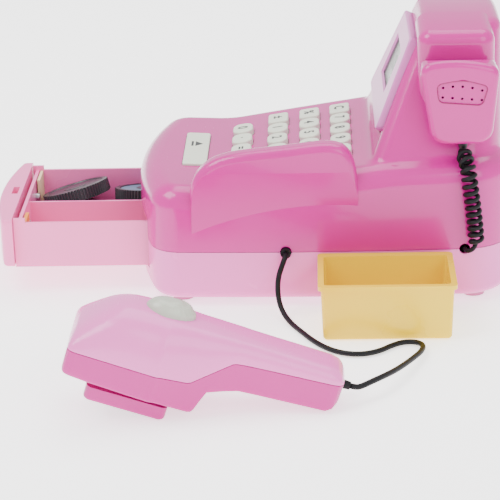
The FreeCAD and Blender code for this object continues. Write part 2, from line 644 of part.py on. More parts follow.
def make_side_bin():
    x0, x1 = BIN_X
    y0, y1 = BIN_Y
    lip = 1.7
    rim = rounded_box(x0, x1, y0, y1, BIN_TOP_Z - 2.6, BIN_TOP_Z, 3.0)
    walls_top = (x0 + 3.7, x1 - lip, y0 + lip, y1 - lip)
    walls_low = (x0 + 5.0, x1 - 2.6, y0 + 2.8, y1 - 2.8)
    outer = Part.makeLoft([rounded_ring(*walls_low, BIN_Z, 3.0), rounded_ring(*walls_top, BIN_TOP_Z - 2.6, 2.4)],
                          True, True)
    outer = round_edges(outer, 2.0, lambda e: e.BoundBox.ZMax < BIN_Z + 0.01)
    t = 1.9
    hollow_top = (walls_top[0] + t, walls_top[1] - t, walls_top[2] + t, walls_top[3] - t)
    hollow_low = (walls_low[0] + t, walls_low[1] - t, walls_low[2] + t, walls_low[3] - t)
    hollow = Part.makeLoft([rounded_ring(*hollow_low, BIN_Z + t, 2.0),
                            rounded_ring(*hollow_top, BIN_TOP_Z + 1, 2.0)], True, True)
    tab = box(x0 + 6, x0 + 16, y0, y0 + 1.2, BIN_TOP_Z - 6.5, BIN_TOP_Z - 2.0)
    lip = box(x0, x0 + 0.7, PEG_Y[0] - 12, PEG_Y[1] + 12, BIN_TOP_Z - 5.0, BIN_TOP_Z - 2.0)
    save("side_bin", joined([rim, outer, tab, lip]).cut(hollow))


# ---- microphone -----------------------------------------------------------------------------
def mic_outline(grow, x0, x1):
    """Shield-shaped body of the microphone between two X planes."""
    g = grow
    top_l, top_r = (x0, 57.4 - g, 153.4 + g), (x0, 106.2 + g, 151.4 + g)
    low_l, low_r = (x0, 65.4 - g, 104.6 - g), (x0, 101.8 + g, 104.8 - g)
    edges = [arc(top_l, (x0, 81.9, 156.4 + g), top_r), line(top_r, low_r),
             arc(low_r, (x0, 84.6, 103.8 - g), low_l), line(low_l, top_l)]
    body = Part.Face(Part.Wire(edges)).extrude(Vector(x1 - x0, 0, 0))
    top = round_edges(body, 7.0 + g, lambda e: along(0)(e) and e.BoundBox.ZMin > 130)
    return round_edges(top, 10.0 + g, lambda e: along(0)(e) and e.BoundBox.ZMin < 130)


def mic_roof(drop):
    """Cutter above the microphone's back, which falls away from its face."""
    return prism([(50, 40, 148.6 - drop), (77, 40, 156.6 - drop), (90, 40, 160.5), (90, 40, 175), (50, 40, 175)],
                 (0, 90, 0))


def make_microphone():
    cy, cz = MIC_CENTRE.y, MIC_CENTRE.z
    front = mic_outline(0, MIC_SPLIT_X + 0.15, MIC_FRONT_X).cut(mic_roof(0))
    front = soften(front, 4.0, lambda e: e.BoundBox.XMin > MIC_FRONT_X - 0.01)
    front = front.cut(mic_outline(-2.4, MIC_SPLIT_X - 1, MIC_FRONT_X - 2.6).cut(mic_roof(2.6)))
    slant = [(68.3, 142.6), (83.8, 145.4), (98.8, 141.0), (95.2, 128.9), (69.4, 131.2)]
    dish = prism([(MIC_FRONT_X - 0.7, y, z) for y, z in slant], (5, 0, 0))
    dish = round_edges(dish, 2.8, along(0))
    cutters = [dish]
    rows = [((71.8, 140.2), (95.2, 138.2), 1.6), ((71.6, 134.2), (95.0, 132.2), 0.0)]
    for first, last, bulge in rows:
        for k in range(5):
            t = k / 4
            y = first[0] + (last[0] - first[0]) * t
            z = first[1] + (last[1] - first[1]) * t + bulge * 4 * t * (1 - t)
            cutters.append(rod(0.8, (MIC_FRONT_X - 6, y, z), (MIC_FRONT_X + 1, y, z)))
    save("mic_front_shell", front.cut(cutters))

    rear = mic_outline(-0.5, MIC_BACK_X, MIC_SPLIT_X - 0.15).cut(mic_roof(0.5))
    rear = rear.cut(mic_outline(-2.9, MIC_BACK_X + 2.2, MIC_SPLIT_X + 1).cut(mic_roof(2.9)))
    tower_side = prism([(40, 40, 60), (TOWER_HALF + 2.2 + TOWER_TAPER * 29.1, 40, 60),
                        (TOWER_HALF + 2.2 - TOWER_TAPER * 70.9, 40, 160), (20, 40, 160)], (0, 80, 0))
    rear = rear.cut([tower_side, rod(3.0, (50, cy, cz + 9.5), (66, cy, cz + 9.5))])
    save("mic_rear_shell", rear)
    save("mic_capsule", rod(6.0, (MIC_FRONT_X - 9.5, 83, 136.5), (MIC_FRONT_X - 3.2, 83, 136.5)))
    save("mic_cord_boot", Part.makeCone(3.4, 2.2, 4.6, Vector(71.6, 84.6, 103.2), Vector(0, 0, -1)))


# ---- hand scanner ---------------------------------------------------------------------------
def scanner_place(shape):
    """Lay a shape modelled level, with Y from nose to grip, down in its resting pose."""
    placed = shape.copy()
    placed.rotate(Vector(0, 0, 0), Vector(1, 0, 0), -SCANNER_PITCH)
    placed.translate(Vector(SCANNER_X, SCANNER_Y, 0))
    return placed


def scanner_block(inset):
    """Whole outer form of the scanner, or its hollow when inset is positive."""
    i = inset
    side = [(-57.0 + i, 13.0 + i), (15.8 - i, 9.6 + i), (19.6 - i, 23.0 + i), (38.0, 28.0 + i), (88.5, 30.5 + i),
            (91.5 - i, 33.5 + i), (93.0 - i, 52.0 - i), (87.5, 57.0 - i), (8.0, 58.5 - i), (-28.0, 57.5 - i),
            (-36.0, 56.0 - i), (-45.0 + i * 0.3, 50.5 - i), (-56.0 + i, 40.5 - i * 0.7), (-59.0 + i, 32.0)]
    body = prism([(-50, u, w) for u, w in side], (100, 0, 0))
    wide, grip = SCANNER_HALF - i, GRIP_HALF - i
    plan = [(-wide + 9, -59.2 + i), (wide - 9, -59.2 + i), (wide, -45.0), (wide, -8.0), (grip + 1.5, 30.0),
            (grip, 95.0 - i), (-grip, 95.0 - i), (-grip - 1.5, 30.0), (-wide, -8.0), (-wide, -45.0)]
    body = body.common(prism([(v, u, 0) for v, u in plan], (0, 0, 80)))
    roof = [arc((-35, -70, 47.0 - i), (0, -70, 58.5 - i), (35, -70, 47.0 - i)), line((35, -70, 47.0 - i), (35, -70, 0)),
            line((35, -70, 0), (-35, -70, 0)), line((-35, -70, 0), (-35, -70, 47.0 - i))]
    return body.common(Part.Face(Part.Wire(roof)).extrude(Vector(0, 180, 0)))


def parting_prism(shift, above):
    """Everything above or below the scanner's stepped joint line."""
    path = [(-80, 29.4 + shift), (10.2, 28.2 + shift), (31.5, 44.7 + shift), (120, 50.0 + shift)]
    far = 120 if above else -40
    ring = path + [(120, far), (-80, far)]
    return prism([(-60, u, w) for u, w in ring], (120, 0, 0))


def make_scanner():
    outer = scanner_block(0)
    outer = round_edges(outer, 1.6, lambda e: e.BoundBox.XLength < 0.01 and e.BoundBox.ZLength > 14
                        and e.BoundBox.YLength < 4)
    shell = outer.cut(scanner_block(2.2))
    dome_u = -10.0
    top = shell.common(parting_prism(0.15, True)).cut(rod(14.9, (0, dome_u, 40), (0, dome_u, 80)))
    boot_hole = rod(3.3, (0, 85, 44.0), (0, 100, 44.0))
    save("scanner_top_shell", scanner_place(top.cut(boot_hole)))
    low = shell.common(parting_prism(-0.15, False))
    low = low.cut([boot_hole, box(-15.0, 15.0, -38, -2, 5, 16)])
    posts = [rod(3.2, (v, u, 12), (v, u, 27)) for v, u in ((-18, -48), (18, -48), (-13, 10), (13, 10))]
    low = joined([low] + posts)
    low = low.cut([rod(1.3, (v, u, 5), (v, u, 28)) for v, u in ((-18, -48), (18, -48), (-13, 10), (13, 10))])
    low = low.cut([rod(2.6, (v, u, 5), (v, u, 15.5)) for v, u in ((-18, -48), (18, -48), (-13, 10), (13, 10))])
    save("scanner_bottom_shell", scanner_place(low))
    frame = rounded_box(-20.5, 20.5, -43.5, 3.5, 0, 8.6, 4.0)
    frame = round_edges(frame, 2.4, lambda e: e.BoundBox.ZMax < 0.01)
    neck = box(-14.8, 14.8, -37.8, -2.2, 8.6, 15.5)
    frame = joined([frame, neck]).cut([box(-12.5, 12.5, -35, -5, 2.0, 20), box(-15.5, 15.5, -38.5, -1.5, -1, 2.0)])
    save("scanner_lens_frame", scanner_place(frame))
    save("scanner_window", scanner_place(box(-15.3, 15.3, -38.3, -1.7, 0.5, 1.9)))
    board = box(-17, 17, -44, 6, 30.5, 32.1)
    lamp = rod(4.0, (0, -20, 24), (0, -20, 30.5))
    save("scanner_board", scanner_place(joined([board, lamp])))
    screws = []
    for v, u in ((-18, -48), (18, -48), (-13, 10), (13, 10)):
        screws.append(joined([rod(2.3, (v, u, 13.6), (v, u, 15.4)), rod(1.2, (v, u, 15.4), (v, u, 27))]))
    save("scanner_screws", scanner_place(group(screws)))
    cap = Part.makeSphere(16.0, Vector(0, dome_u, 49.0))
    cap = cap.common(box(-20, 20, -40, 20, 55.2, 90))
    skirt = rod(14.5, (0, dome_u, 49.5), (0, dome_u, 55.3))
    flange = rod(15.8, (0, dome_u, 48.0), (0, dome_u, 49.5))
    trigger = joined([cap, skirt, flange])
    save("scanner_trigger", scanner_place(trigger))
    save("scanner_cord_boot", scanner_place(Part.makeCone(3.2, 2.3, 10.0, Vector(0, 88.5, 44.0), Vector(0, 1, 0))))


# ---- cords ----------------------------------------------------------------------------------
def route_wire(points, label):
    """Straight runs joined by tangent arcs, each as large as its two runs allow."""
    route = [Vector(*p) for p in points]
    edges = []
    here = route[0]
    radii = []
    for i in range(1, len(route) - 1):
        before, at, after = route[i - 1], route[i], route[i + 1]
        into, out = (at - before), (after - at)
        shorter = min(into.Length, out.Length)
        into.normalize()
        out.normalize()
        turn = math.acos(max(-1.0, min(1.0, into.dot(out))))
        reach = 0.45 * shorter
        radius = reach / math.tan(turn / 2)
        radii.append(round(radius, 1))
        first, last = at - into * reach, at + out * reach
        bisector = out - into
        bisector.normalize()
        centre = at + bisector * (radius / math.cos(turn / 2))
        middle = centre - bisector * radius
        edges.append(Part.LineSegment(here, first).toShape())
        edges.append(Part.Arc(first, middle, last).toShape())
        here = last
    edges.append(Part.LineSegment(here, route[-1]).toShape())
    wire = Part.Wire(edges)
    print(label, "length", round(wire.Length, 1), "radii", radii)
    return wire


def tube(points, diameter, label):
    """Round tube along a route."""
    wire = route_wire(points, label)
    start = Vector(*points[0])
    direction = Vector(*points[1]) - start
    ring = Part.Wire(Part.makeCircle(diameter / 2, start, direction))
    shape = wire.makePipeShell([ring], True, False)
    ideal = math.pi * diameter ** 2 / 4 * wire.Length
    print(label, "swept volume", round(shape.Volume), "section x length", round(ideal))
    return shape


SCANNER_CORD_ROUTE = [
    (84.5, -24.5, 36.5), (88.0, -24.5, 36.5), (90.6, -26.4, 32.4), (92.6, -29.6, 23.6), (95.6, -29.8, 13.2),
    (101.5, -27.4, 5.6), (112.0, -22.0, 1.9), (124.5, -15.6, 1.9), (139.5, -8.0, 1.9), (151.0, 0.6, 1.9),
    (157.5, 9.5, 1.9), (159.5, 20.5, 1.9), (155.0, 31.0, 1.9), (147.0, 38.5, 1.9), (142.0, 46.0, 1.9),
    (143.0, 53.4, 2.2), (150.0, 57.4, 3.2), (161.0, 55.6, 4.4), (172.0, 50.8, 5.6), (184.5, 44.8, 7.0),
    (196.5, 38.6, 8.6), (206.8, 31.6, 9.9), (214.6, 24.4, 10.2), (218.8, 19.0, 9.5), (220.0, 15.8, 9.4),
    (220.0, 12.55, 10.47)]
MIC_CORD_ROUTE = [(84.6, 87.0, 92.0), (85.2, 87.4, 86.0), (86.0, 88.4, 78.0), (86.1, 90.0, 68.0),
                  (86.3, 91.4, 57.0), (86.1, 92.4, 46.0)]
MIC_LEAD_ROUTE = [(71.6, 84.6, 98.3), (71.9, 84.7, 96.2), (74.8, 85.1, 95.2), (79.0, 85.8, 96.0),
                  (82.9, 86.6, 95.9), (84.5, 86.9, 93.0)]
MIC_TAIL_ROUTE = [(86.1, 92.4, 45.7), (86.0, 92.2, 41.6), (85.6, 90.8, 38.2), (84.2, 88.4, 36.7),
                  (82.2, 86.8, 36.5), (79.4, 86.0, 36.5)]


def make_cords():
    save("scanner_cord", tube(SCANNER_CORD_ROUTE, CORD_D, "scanner cord"))
    save("mic_cord", tube(MIC_CORD_ROUTE, COIL_D, "curly cord, outer form"))
    save("mic_cord_ends", group([tube(MIC_LEAD_ROUTE, WIRE_D, "curly cord, upper straight end"),
                                 tube(MIC_TAIL_ROUTE, WIRE_D, "curly cord, lower straight end")]))
    x, y = CORD_EXIT.x, CORD_EXIT.y
    save("scanner_cord_gland", joined([rod(3.3, (x - 4, y, SEAM_Z), (x + 3.3, y, SEAM_Z)),
                                       rod(4.6, (x - 5.5, y, SEAM_Z), (x - 4, y, SEAM_Z))]))


make_lower_housing()
make_upper_housing()
make_small_housing_parts()
make_display()
make_electronics()
make_keys()
make_drawer()
make_play_money()
make_drawer_action()
make_side_bin()
make_microphone()
make_scanner()
make_cords()
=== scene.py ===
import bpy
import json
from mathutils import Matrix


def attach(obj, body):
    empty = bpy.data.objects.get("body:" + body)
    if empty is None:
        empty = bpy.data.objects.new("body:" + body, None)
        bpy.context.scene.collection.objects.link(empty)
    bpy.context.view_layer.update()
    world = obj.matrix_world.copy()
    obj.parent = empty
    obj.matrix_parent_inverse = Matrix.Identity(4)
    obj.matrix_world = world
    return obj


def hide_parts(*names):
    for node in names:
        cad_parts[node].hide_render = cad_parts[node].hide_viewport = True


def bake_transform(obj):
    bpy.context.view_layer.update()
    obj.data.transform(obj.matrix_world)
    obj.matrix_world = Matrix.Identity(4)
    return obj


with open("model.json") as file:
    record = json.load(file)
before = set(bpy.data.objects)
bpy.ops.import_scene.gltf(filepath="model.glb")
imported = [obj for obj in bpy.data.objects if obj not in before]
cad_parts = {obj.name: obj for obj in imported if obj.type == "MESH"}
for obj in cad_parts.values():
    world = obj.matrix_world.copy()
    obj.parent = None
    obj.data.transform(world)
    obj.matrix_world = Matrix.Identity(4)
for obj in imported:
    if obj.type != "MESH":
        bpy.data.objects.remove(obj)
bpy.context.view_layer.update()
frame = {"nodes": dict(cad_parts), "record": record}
import json
import math
import bmesh
import bpy
from mathutils import Matrix, Vector

NODES = frame["nodes"]
MM = 0.001


# ---- camera -------------------------------------------------------------------------------
# The place is in metres, the lens and the sensor in millimetres.
CAMERA_PLACE = (1.2602, -0.0024, 0.5059)
CAMERA_PITCH, CAMERA_YAW, CAMERA_ROLL = math.radians(21.63), math.radians(2.15), math.radians(1.6)
LENS = 147.6
SENSOR = 36


def make_camera():
    """Long lens on the register's right side, looking down about 22 degrees."""
    pitch, yaw, roll = CAMERA_PITCH, CAMERA_YAW, CAMERA_ROLL
    forward = Vector((-math.cos(yaw) * math.cos(pitch), -math.sin(yaw) * math.cos(pitch), -math.sin(pitch)))
    right = Vector((-math.sin(yaw), math.cos(yaw), 0))
    up = right.cross(forward)
    cam_right = math.cos(roll) * right - math.sin(roll) * up
    cam_up = math.sin(roll) * right + math.cos(roll) * up
    data = bpy.data.cameras.new("camera")
    data.lens = LENS
    data.sensor_width = SENSOR
    data.clip_end = 30
    camera = bpy.data.objects.new("camera", data)
    bpy.context.scene.collection.objects.link(camera)
    turn = Matrix((cam_right, cam_up, -forward)).transposed().to_4x4()
    camera.matrix_world = Matrix.Translation(CAMERA_PLACE) @ turn
    bpy.context.scene.camera = camera


# ---- general helpers ----------------------------------------------------------------------
def add_mesh(name, points, faces, smooth=True):
    mesh = bpy.data.meshes.new(name)
    mesh.from_pydata([tuple(p) for p in points], [], faces)
    mesh.validate()
    mesh.update()
    for polygon in mesh.polygons:
        polygon.use_smooth = smooth
    piece = bpy.data.objects.new(name, mesh)
    bpy.context.scene.collection.objects.link(piece)
    return piece


def band(base, count):
    """Quads between the closed ring of points that starts at base and the ring after it."""
    quads = []
    for k in range(count):
        a, b = base + k, base + (k + 1) % count
        quads.append((a, b, b + count, a + count))
    return quads


def smooth_line(name, points):
    """Points along a smooth curve through given control points in millimetres."""
    curve = bpy.data.curves.new(name, "CURVE")
    curve.dimensions = "3D"
    curve.resolution_u = 10
    spline = curve.splines.new("NURBS")
    spline.points.add(len(points) - 1)
    for target, p in zip(spline.points, points):
        target.co = (p[0] * MM, p[1] * MM, p[2] * MM, 1)
    spline.order_u = 3
    spline.use_endpoint_u = True
    holder = bpy.data.objects.new(name, curve)
    bpy.context.scene.collection.objects.link(holder)
    bpy.context.view_layer.update()
    mesh = bpy.data.meshes.new_from_object(holder)
    line = [v.co.copy() for v in mesh.vertices]
    bpy.data.meshes.remove(mesh)
    bpy.data.objects.remove(holder)
    return line


def length_of(line):
    return sum((b - a).length for a, b in zip(line, line[1:]))


def resample(line, step):
    """The same line with points a fixed step apart."""
    total = length_of(line)
    count = max(2, round(total / step))
    made, index, walked = [line[0]], 0, 0.0
    for k in range(1, count):
        wanted = total * k / count
        while walked + (line[index + 1] - line[index]).length < wanted:
            walked += (line[index + 1] - line[index]).length
            index += 1
        span = line[index + 1] - line[index]
        made.append(line[index] + span * ((wanted - walked) / span.length))
    return made + [line[-1]]


def carried_frames(line):
    """Tangent and two crosswise directions at each point, without twist."""
    frames = []
    side = None
    for i in range(len(line)):
        tangent = (line[min(i + 1, len(line) - 1)] - line[max(i - 1, 0)]).normalized()
        if side is None:
            side = tangent.orthogonal()
        side = (side - tangent * side.dot(tangent)).normalized()
        frames.append((tangent, side, tangent.cross(side)))
    return frames


def tube(name, line, radius, around=14):
    """Round tube mesh along a line, with closed ends."""
    points, faces = [], []
    for p, (_, side, other) in zip(line, carried_frames(line)):
        for k in range(around):
            turn = 2 * math.pi * k / around
            points.append(p + (side * math.cos(turn) + other * math.sin(turn)) * radius)
    for i in range(len(line) - 1):
        faces += band(i * around, around)
    faces.append(tuple(range(around - 1, -1, -1)))
    last = (len(line) - 1) * around
    faces.append(tuple(range(last, last + around)))
    return add_mesh(name, points, faces)


def soft_edges(piece, degrees):
    """Smooth shading with edges sharper than this kept crisp."""
    mesh = bmesh.new()
    mesh.from_mesh(piece.data)
    bmesh.ops.recalc_face_normals(mesh, faces=mesh.faces)
    for edge in mesh.edges:
        if len(edge.link_faces) == 2 and edge.calc_face_angle(0) > math.radians(degrees):
            edge.smooth = False
    mesh.to_mesh(piece.data)
    mesh.free()


# ---- materials ----------------------------------------------------------------------------
BLOTCH_SCALE, BLOTCH_DETAIL = 14.0, 4.0
BLOTCH_FROM, BLOTCH_TO = 0.3, 0.7
GLOSS_SPREAD = 0.15
HAIR_TURN, HAIR_STRETCH = (0.3, 0.5, 0.7), (60, 1500, 1500)
HAIR_FROM, HAIR_TO, HAIR_ROUGHNESS = 0.68, 0.78, 0.09
RELIEF_DEPTH = 0.2 * MM


def set_inputs(tree, node, inputs):
    """Set or feed a node's inputs, named with _ for a space: a socket is linked, a value is set."""
    for name, source in inputs.items():
        target = node.inputs[name.replace("_", " ")]
        if isinstance(source, bpy.types.NodeSocket):
            tree.links.new(source, target)
        else:
            target.default_value = source


def add_node(tree, kind, **inputs):
    node = tree.nodes.new("ShaderNode" + kind)
    set_inputs(tree, node, inputs)
    return node


def surface(name, color, rough=0.3, spread=0.04, grain=900.0, bump=0.03, **more):
    """Principled material with soft mottling, uneven gloss, hair scratches and fine grain."""
    material = bpy.data.materials.new(name)
    material.use_nodes = True
    tree = material.node_tree
    place = add_node(tree, "TexCoord").outputs["Object"]
    blotch = add_node(tree, "TexNoise", Vector=place, Scale=BLOTCH_SCALE, Detail=BLOTCH_DETAIL).outputs["Fac"]
    ramp = add_node(tree, "ValToRGB", Fac=blotch)
    ends = ((BLOTCH_FROM, 1 - spread), (BLOTCH_TO, 1 + spread))
    for stop, (position, gain) in zip(ramp.color_ramp.elements, ends):
        stop.position = position
        stop.color = (*[min(1.0, c * gain) for c in color], 1)
    gloss = add_node(tree, "MapRange", Value=blotch, To_Min=rough * (1 - GLOSS_SPREAD),
                     To_Max=rough * (1 + GLOSS_SPREAD))
    stretched = add_node(tree, "Mapping", Vector=place, Rotation=HAIR_TURN, Scale=HAIR_STRETCH)
    hair = add_node(tree, "TexNoise", Vector=stretched.outputs["Vector"], Scale=1.0)
    scratches = add_node(tree, "MapRange", Value=hair.outputs["Fac"], From_Min=HAIR_FROM, From_Max=HAIR_TO,
                         To_Max=HAIR_ROUGHNESS)
    worn = add_node(tree, "Math")
    worn.operation = "ADD"
    tree.links.new(gloss.outputs["Result"], worn.inputs[0])
    tree.links.new(scratches.outputs["Result"], worn.inputs[1])
    fine = add_node(tree, "TexNoise", Vector=place, Scale=grain)
    relief = add_node(tree, "Bump", Strength=bump, Distance=RELIEF_DEPTH, Height=fine.outputs["Fac"])
    set_inputs(tree, tree.nodes["Principled BSDF"],
               {"Base_Color": ramp.outputs["Color"], "Roughness": worn.outputs["Value"],
                "Normal": relief.outputs["Normal"], **more})
    return material


def paint(piece, material):
    piece.data.materials.clear()
    piece.data.materials.append(material)


GLOSS = {"Coat_Weight": 0.3, "Coat_Roughness": 0.06, "Specular_IOR_Level": 0.35}
PINK = surface("pink_gloss", [0.51, 0.003, 0.235], 0.22, 0.03, **GLOSS)
PALE = surface("pink_pale", [0.80, 0.155, 0.50], 0.26, 0.03, **GLOSS)
DRAWER = surface("drawer_pink", [0.92, 0.19, 0.48], 0.28, 0.03)
BEZEL = surface("bezel_pink", [0.62, 0.17, 0.48], 0.3, 0.03)
WHITE = surface("key_white", [0.66, 0.70, 0.58], 0.35, 0.03)
YELLOW = surface("bin_yellow", [0.84, 0.56, 0.0], 0.28, 0.04)
CLEAR = surface("trigger_clear", [0.56, 0.62, 0.50], 0.22, 0.05, Transmission_Weight=0.3)
BLACK = surface("black_plastic", [0.012, 0.012, 0.013], 0.4, 0.1)
CORD = surface("cord_black", [0.004, 0.004, 0.005], 0.5, 0.15, 2200.0, 0.1, Specular_IOR_Level=0.2)
RUBBER = surface("rubber_grey", [0.06, 0.055, 0.058], 0.6, 0.08)
FOOT = surface("rubber_pink", [0.55, 0.16, 0.34], 0.5, 0.05)
STEEL = surface("steel", [0.4, 0.41, 0.42], 0.3, 0.06, Metallic=1.0)
BOARD = surface("board_green", [0.013, 0.13, 0.045], 0.4, 0.1)
LCD = surface("lcd_grey", [0.28, 0.34, 0.28], 0.3, 0.04)
WINDOW = surface("clear_window", [0.7, 0.74, 0.72], 0.08, 0.02, Alpha=0.16)
COIN = surface("coin_grey", [0.03, 0.03, 0.036], 0.35, 0.12)
COIN_BLUE = surface("coin_blue", [0.10, 0.22, 0.32], 0.35, 0.05)
CARD = surface("card_cream", [0.74, 0.55, 0.33], 0.55, 0.06)
NOTE_ORANGE = (0.80, 0.26, 0.03)
# Very dark pink for the line round the microphone's grille: painted shade in place of the groove's shadow.
PAINTED_GROOVE_SHADE = surface("painted_groove_shade", [0.22, 0.0, 0.07], 0.5, 0.05)
INK = surface("ink_grey", [0.03, 0.032, 0.034], 0.5, 0.1)
FLOOR = surface("floor_white", [0.95, 0.95, 0.95], 0.75, 0.005, Specular_IOR_Level=0.2,
                Emission_Color=(1, 1, 1, 1), Emission_Strength=1.5)
SLOTS = {"pink_gloss": PINK, "pink_pale": PALE, "drawer_pink": DRAWER, "bezel_pink": BEZEL,
         "key_white": WHITE, "bin_yellow": YELLOW, "trigger_clear": CLEAR, "black_plastic": BLACK,
         "cord_black": CORD, "rubber_grey": RUBBER, "rubber_pink": FOOT, "steel": STEEL,
         "board_green": BOARD, "lcd_grey": LCD, "clear_window": WINDOW, "coin_grey": COIN,
         "card_cream": CARD}
MIX_SIDE, MIX_LEFT, MIX_RIGHT, MIX_RESULT = 0, 6, 7, 2


def tint_by_side(material, near_color):
    """What lies on the right of the drawer's divider, at x above 0, takes another colour."""
    tree = material.node_tree
    base = tree.nodes["Principled BSDF"].inputs["Base Color"]
    before = base.links[0].from_socket
    split = add_node(tree, "SeparateXYZ", Vector=add_node(tree, "TexCoord").outputs["Object"])
    side = add_node(tree, "Math")
    side.operation = "GREATER_THAN"
    side.inputs[1].default_value = 0.0
    tree.links.new(split.outputs["X"], side.inputs[0])
    mix = add_node(tree, "Mix")
    mix.data_type = "RGBA"
    mix.inputs[MIX_RIGHT].default_value = (*near_color, 1)
    tree.links.new(side.outputs["Value"], mix.inputs[MIX_SIDE])
    tree.links.new(before, mix.inputs[MIX_LEFT])
    tree.links.new(mix.outputs[MIX_RESULT], base)


def paint_cad():
    """Each CAD node takes the material of its slot in the record."""
    for part in frame["record"]["subparts"]:
        paint(NODES[part["node"]], SLOTS[part["material_slot"]])


# ---- cords --------------------------------------------------------------------------------
SCANNER_CORD_R = 1.65 * MM
SCANNER_CORD_STEP = 1.5 * MM
SCANNER_ROUTE = [
    (84.5, -24.5, 36.5), (88.0, -24.5, 36.5), (90.6, -26.4, 32.4), (92.6, -29.6, 23.6), (95.6, -29.8, 13.2),
    (101.5, -27.4, 5.6), (112.0, -22.0, 1.9), (124.5, -15.6, 1.9), (139.5, -8.0, 1.9), (151.0, 0.6, 1.9),
    (157.5, 9.5, 1.9), (159.5, 20.5, 1.9), (155.0, 31.0, 1.9), (147.0, 38.5, 1.9), (142.0, 46.0, 1.9),
    (143.0, 53.4, 2.2), (150.0, 57.4, 3.2), (161.0, 55.6, 4.4), (172.0, 50.8, 5.6), (184.5, 44.8, 7.0),
    (196.5, 38.6, 8.6), (206.8, 31.6, 9.9), (214.6, 24.4, 10.2), (218.8, 19.0, 9.5), (220.0, 15.8, 9.4),
    (220.0, 12.55, 10.47)]
WIRE_R = 1.4 * MM
WIRE_STEP = 0.5 * MM
WIRE_START = (71.6, 84.6, 99.4)
COIL_ROUTE = [
    (71.9, 84.6, 98.4), (74.2, 85.0, 96.6), (78.2, 85.7, 95.0), (82.6, 86.6, 92.6), (85.4, 87.6, 86.5),
    (86.2, 88.6, 78.0), (86.4, 90.1, 68.0), (86.5, 91.4, 57.0), (86.3, 92.3, 48.0), (86.1, 92.4, 42.5)]
WIRE_END = [(86.2, 91.2, 39.2), (85.7, 89.2, 37.4), (84.4, 87.4, 36.6), (82.2, 86.4, 36.5),
            (79.4, 86.0, 36.5)]
COIL_R = 3.85 * MM
COIL_TURNS = 13.5
COIL_POINTS_PER_TURN = 22
COIL_FIRST_ANGLE = 1.2
COIL_SAG = 0.92
COIL_OPENING, COIL_TOP_SHARE, COIL_FOOT_SHARE = 26.0, 0.1, 0.25


def coil_spread(t):
    """Share of the coil's radius at t from 0 to 1: it opens and closes over about half a turn."""
    return min(1.0, t * COIL_OPENING + COIL_TOP_SHARE) * min(1.0, (1 - t) * COIL_OPENING + COIL_FOOT_SHARE)


def coil_points():
    """The curly cord's helix, its turns a little further apart at the top, where they carry more weight."""
    axis = resample(smooth_line("coil_line", COIL_ROUTE), WIRE_STEP)
    frames = carried_frames(axis)
    spans = len(axis) - 1
    steps = int(COIL_TURNS * COIL_POINTS_PER_TURN)
    helix = []
    for k in range(steps + 1):
        t = k / steps
        along = t ** COIL_SAG * spans
        i = min(int(along), spans - 1)
        middle = axis[i].lerp(axis[i + 1], along - i)
        _, side, other = frames[i]
        turn = 2 * math.pi * COIL_TURNS * t + COIL_FIRST_ANGLE
        helix.append(middle + (side * math.cos(turn) + other * math.sin(turn)) * (COIL_R * coil_spread(t)))
    return helix


def make_scanner_cord():
    line = resample(smooth_line("scanner_cord_line", SCANNER_ROUTE), SCANNER_CORD_STEP)
    cord = tube("scanner_cord_sheath", line, SCANNER_CORD_R)
    paint(cord, CORD)
    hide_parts("scanner_cord")
    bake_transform(cord)


def make_curly_cord():
    helix = [tuple(p / MM) for p in coil_points()]
    line = resample(smooth_line("mic_cord_line", [WIRE_START] + helix + WIRE_END), WIRE_STEP)
    cord = tube("mic_cord_sheath", line, WIRE_R, around=12)
    paint(cord, CORD)
    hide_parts("mic_cord", "mic_cord_ends")
    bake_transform(cord)


# ---- scanner look -------------------------------------------------------------------------
# In the scanner's own millimetres, v runs across, u from the nose to the grip and w up.
SCANNER_TILT = math.radians(18.5)
SCANNER_FOOT = (220.0, -94.9)
NOSE, TAIL = -59.4, 93.4
STATION_STEP = 1.6
SHELL_GAP = 0.25
SHELL_WALL, SHELL_ROUND = 1.6, 0.35

# Each table gives values at places u: the half width, the heights w of the crown, the parting line and the
# belly, and how square the section is.
HALF_WIDTH = [(NOSE, 23.2), (-59.0, 25.0), (-58.0, 26.4), (-56.2, 27.3), (-53.5, 27.6), (-9.2, 27.6),
              (-8.0, 27.4), (-6.8, 26.9), (-5.4, 26.3), (0.0, 25.0), (10.0, 22.4), (20.0, 19.8), (30.0, 17.2),
              (37.0, 16.0), (50.0, 15.4), (87.0, 14.8), (91.0, 13.8), (92.8, 12.0), (TAIL, 10.2)]
CROWN = [(NOSE, 33.2), (-58.8, 35.4), (-57.5, 38.0), (-53.8, 42.2), (-48.0, 47.8), (-43.0, 52.0),
         (-39.0, 54.4), (-35.0, 56.1), (-30.0, 57.2), (-23.0, 57.8), (-8.0, 57.8), (7.0, 57.2),
         (41.0, 56.6), (84.0, 55.8), (89.0, 54.6), (91.6, 52.4), (TAIL, 49.6)]
PARTING = [(-60.0, 29.5), (9.2, 28.2), (11.2, 28.9), (30.6, 44.2), (32.6, 44.8), (94.0, 48.3)]
BELLY = [(NOSE, 16.4), (-58.9, 15.2), (-57.9, 14.4), (-56.0, 14.0), (-43.8, 13.0), (-21.2, 12.0),
         (-5.0, 11.4), (14.0, 9.3), (16.0, 9.6), (17.2, 11.2), (19.6, 18.6), (21.4, 23.4),
         (38.3, 28.0), (88.0, 30.5), (91.3, 32.6), (TAIL, 37.0)]
SIDE_FULLNESS = [(NOSE, 3.0), (-40.0, 2.8), (-12.0, 2.8), (-4.0, 3.4), (20.0, 4.0), (TAIL, 4.2)]
TOP_FULLNESS = [(NOSE, 2.1), (-12.0, 2.1), (20.0, 2.4), (TAIL, 2.5)]
BELLY_SIDE_FULLNESS, BELLY_LOW_FULLNESS = 16.0, 11.0
CROWN_STEPS, BELLY_STEPS = 18, 16


